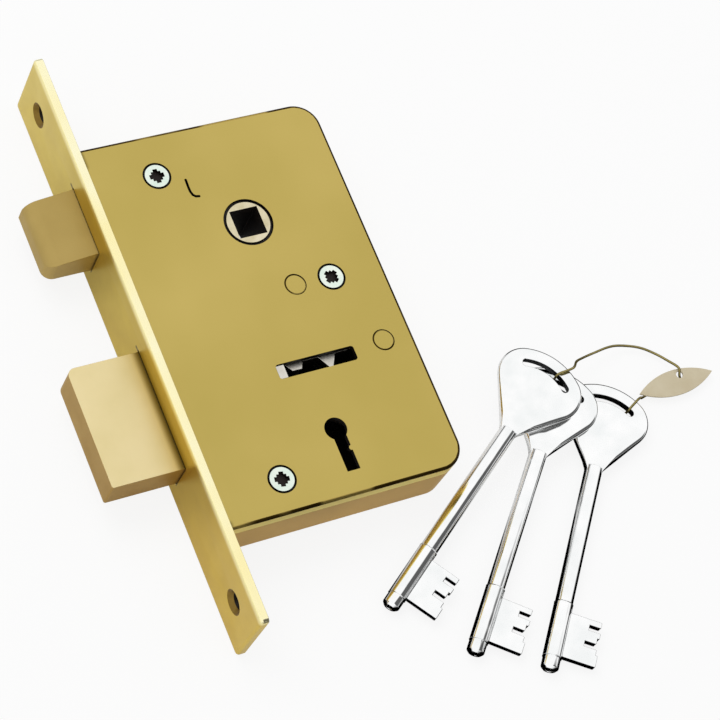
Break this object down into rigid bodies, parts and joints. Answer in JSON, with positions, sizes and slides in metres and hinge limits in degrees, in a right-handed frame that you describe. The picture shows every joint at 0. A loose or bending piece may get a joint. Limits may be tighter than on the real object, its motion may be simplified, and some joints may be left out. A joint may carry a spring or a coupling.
{
  "type": "mortice lever lock with keys",
  "caption": "Mortice sash lock with a spring latch, a lever-locked deadbolt, a square-socket follower and a ring of matching keys.",
  "frame": {"origin": "centre of the forend's outer face", "axes": "+X from the forend's outer face into the door, +Y up along the forend, +Z out of the cap with the keyhole on show"},
  "size_m": [0.1789, 0.1967, 0.024],
  "materials": {
    "forend": "satin polished brass plate",
    "case_body": "steel tray with a brassed finish",
    "case_cap": "steel cap with a polished brassed finish",
    "cap_pillars": "turned steel",
    "cap_screws": "bright zinc plated steel",
    "case_pins": "riveted brass pin",
    "latch_bolt": "satin brass",
    "inner_steel": "cold rolled steel",
    "spring_wire": "spring steel wire",
    "follower": "cast zinc alloy, satin",
    "deadbolt_head": "satin brass",
    "deadbolt_stump": "bright steel",
    "levers": "bright stamped brass levers",
    "lever_springs": "phosphor bronze strip",
    "keys": "polished nickel plate",
    "ring_wire": "thin olive brown wire",
    "tag_card": "beige card-like plastic"
  },
  "bodies": {
    "lock_case": {"forend": "forend", "case_body": "case_body", "case_cap": "case_cap", "cap_pillars": "cap_pillars", "cap_screws": "cap_screws", "lever_pivot": "case_pins", "spring_post": "case_pins", "latch_spring": "spring_wire"},
    "spring_latch": {"latch_bolt": "latch_bolt", "latch_tail": "inner_steel", "latch_rod": "inner_steel"},
    "handle_follower": {"follower": "follower"},
    "deadbolt": {"deadbolt_head": "deadbolt_head", "deadbolt_tail": "inner_steel", "deadbolt_rivets": "deadbolt_head", "deadbolt_stump": "deadbolt_stump"},
    "lever_set_1": {"lever_1": "levers", "lever_spring_1": "lever_springs"},
    "lever_set_2": {"lever_2": "levers", "lever_spring_2": "lever_springs"},
    "lever_set_3": {"lever_3": "levers", "lever_spring_3": "lever_springs"},
    "lever_set_4": {"lever_4": "levers", "lever_spring_4": "lever_springs"},
    "lever_set_5": {"lever_5": "levers", "lever_spring_5": "lever_springs"},
    "lever_set_6": {"lever_6": "levers", "lever_spring_6": "lever_springs"},
    "ring": {"key_ring": "ring_wire"},
    "loose_key_1": {"key_1": "keys"},
    "loose_key_2": {"key_2": "keys"},
    "loose_key_3": {"key_3": "keys"},
    "tag": {"key_tag": "tag_card"}
  },
  "joints": [
    {"name": "latch_slide", "type": "slide", "parent": "lock_case", "child": "spring_latch", "axis": [1, 0, 0], "range_m": [0, 0.0128], "stiffness_N_per_m": 300, "springref_m": -0.01, "deforming": ["latch_spring"]},
    {"name": "follower_turn", "type": "hinge", "parent": "lock_case", "child": "handle_follower", "pos_m": [0.0406, 0.0242, 0], "axis": [0, 0, -1], "range_deg": [0, 47.21]},
    {"name": "deadbolt_slide", "type": "slide", "parent": "lock_case", "child": "deadbolt", "axis": [1, 0, 0], "range_m": [0, 0.02]},
    {"name": "lever_1_lift", "type": "hinge", "parent": "lock_case", "child": "lever_set_1", "pos_m": [0.0634, -0.0172, -0.00255], "axis": [0, 0, -1], "range_deg": [0, 15.78], "deforming": ["lever_spring_1"]},
    {"name": "lever_2_lift", "type": "hinge", "parent": "lock_case", "child": "lever_set_2", "pos_m": [0.0634, -0.0172, -0.001], "axis": [0, 0, -1], "range_deg": [0, 3.45], "deforming": ["lever_spring_2"]},
    {"name": "lever_3_lift", "type": "hinge", "parent": "lock_case", "child": "lever_set_3", "pos_m": [0.0634, -0.0172, 0.00055], "axis": [0, 0, -1], "range_deg": [0, 14.39], "deforming": ["lever_spring_3"]},
    {"name": "lever_4_lift", "type": "hinge", "parent": "lock_case", "child": "lever_set_4", "pos_m": [0.0634, -0.0172, 0.0021], "axis": [0, 0, -1], "range_deg": [0, 16.47], "deforming": ["lever_spring_4"]},
    {"name": "lever_5_lift", "type": "hinge", "parent": "lock_case", "child": "lever_set_5", "pos_m": [0.0634, -0.0172, 0.00365], "axis": [0, 0, -1], "range_deg": [0, 4.81], "deforming": ["lever_spring_5"]},
    {"name": "lever_6_lift", "type": "hinge", "parent": "lock_case", "child": "lever_set_6", "pos_m": [0.0634, -0.0172, 0.0052], "axis": [0, 0, -1], "range_deg": [0, 15.78], "deforming": ["lever_spring_6"]},
    {"name": "ring_lift", "type": "slide", "parent": "lock_case", "child": "ring", "axis": [-0.0488, 0, 0.9988], "range_m": [0, 0.05]},
    {"name": "key_1_swing", "type": "hinge", "parent": "ring", "child": "loose_key_1", "pos_m": [0.10917, -0.03832, -0.00678], "axis": [-0.0488, 0, 0.9988], "range_deg": [-4, 4]},
    {"name": "key_2_swing", "type": "hinge", "parent": "ring", "child": "loose_key_2", "pos_m": [0.10917, -0.03832, -0.00678], "axis": [-0.0488, 0, 0.9988], "range_deg": [-4, 4]},
    {"name": "key_3_swing", "type": "hinge", "parent": "ring", "child": "loose_key_3", "pos_m": [0.12858, -0.0511, -0.00584], "axis": [-0.0488, 0, 0.9988], "range_deg": [-4, 4]},
    {"name": "tag_swing", "type": "hinge", "parent": "ring", "child": "tag", "pos_m": [0.14913, -0.0448, -0.00483], "axis": [-0.0488, 0, 0.9988], "range_deg": [-8, 8]}
  ],
  "couplings": [
    {"joint": "follower_turn", "follows": "latch_slide", "rad_per_m": 64.299},
    {"joint": "lever_1_lift", "follows": "deadbolt_slide", "rad_per_m": 13.726},
    {"joint": "lever_2_lift", "follows": "deadbolt_slide", "rad_per_m": 2.9644},
    {"joint": "lever_3_lift", "follows": "deadbolt_slide", "rad_per_m": 12.518},
    {"joint": "lever_4_lift", "follows": "deadbolt_slide", "rad_per_m": 14.332},
    {"joint": "lever_5_lift", "follows": "deadbolt_slide", "rad_per_m": 4.1515},
    {"joint": "lever_6_lift", "follows": "deadbolt_slide", "rad_per_m": 13.726}
  ]
}
